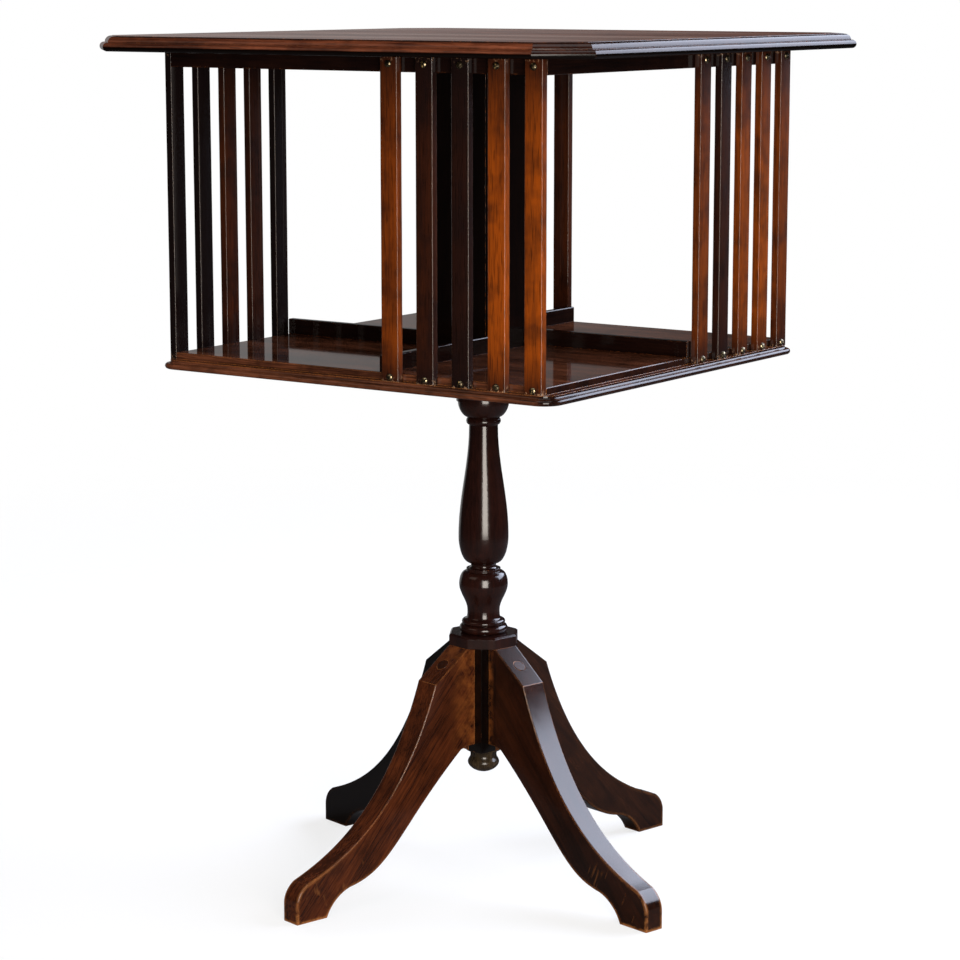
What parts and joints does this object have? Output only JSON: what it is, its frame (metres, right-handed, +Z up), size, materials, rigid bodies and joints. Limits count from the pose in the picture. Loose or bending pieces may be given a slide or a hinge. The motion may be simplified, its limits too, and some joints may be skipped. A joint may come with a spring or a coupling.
{
  "type": "revolving bookcase",
  "caption": "Square slatted bookcase that turns on a spindle in a turned column with swept legs; each face is open on one half to a book bay, under a moulded top.",
  "frame": {"origin": "on the turning axis at floor level, in the middle of the four feet", "axes": "+Z up along the turning axis; X and Y square to the faces of the case, with the front face towards -Y"},
  "size_m": [0.508, 0.508, 0.765],
  "materials": {
    "mahogany_case": "french polished",
    "mahogany_slats": "french polished, worn arrises",
    "mahogany_top": "french polished",
    "mahogany_turned": "french polished, high gloss",
    "mahogany_legs": "french polished, scuffed at the feet",
    "pine": "sawn, unfinished",
    "brass": "tarnished",
    "steel": "bright drawn"
  },
  "bodies": {
    "pedestal": {"collar_pin": "steel", "column": "mahogany_turned", "column_plate": "brass", "column_plate_screws": "steel", "leg_1": "mahogany_legs", "leg_2": "mahogany_legs", "leg_3": "mahogany_legs", "leg_4": "mahogany_legs", "leg_pellets": "mahogany_legs", "leg_screws": "steel", "pendant": "mahogany_turned", "retaining_collar": "steel", "spindle": "steel", "thrust_washer": "brass"},
    "case": {"base_board": "mahogany_case", "base_bush": "brass", "base_bush_screws": "steel", "base_screws": "steel", "book_stop_back": "mahogany_case", "book_stop_front": "mahogany_case", "book_stop_left": "mahogany_case", "book_stop_right": "mahogany_case", "post_board_back": "mahogany_case", "post_board_front": "mahogany_case", "post_board_left": "mahogany_case", "post_board_right": "mahogany_case", "post_foot_block": "pine", "slat_back_1": "mahogany_slats", "slat_back_2": "mahogany_slats", "slat_back_3": "mahogany_slats", "slat_back_4": "mahogany_slats", "slat_back_5": "mahogany_slats", "slat_front_1": "mahogany_slats", "slat_front_2": "mahogany_slats", "slat_front_3": "mahogany_slats", "slat_front_4": "mahogany_slats", "slat_front_5": "mahogany_slats", "slat_left_1": "mahogany_slats", "slat_left_2": "mahogany_slats", "slat_left_3": "mahogany_slats", "slat_left_4": "mahogany_slats", "slat_left_5": "mahogany_slats", "slat_right_1": "mahogany_slats", "slat_right_2": "mahogany_slats", "slat_right_3": "mahogany_slats", "slat_right_4": "mahogany_slats", "slat_right_5": "mahogany_slats", "slat_screws": "brass", "top_board": "mahogany_top", "top_rail_back": "mahogany_case", "top_rail_front": "mahogany_case", "top_rail_left": "mahogany_case", "top_rail_right": "mahogany_case", "top_screws": "steel", "upper_bearing_block": "pine", "upper_bush": "brass"}
  },
  "joints": [
    {"name": "case_turn", "type": "hinge", "parent": "pedestal", "child": "case", "pos_m": [0, 0, 0.4734], "axis": [0, 0, 1], "continuous": true}
  ]
}
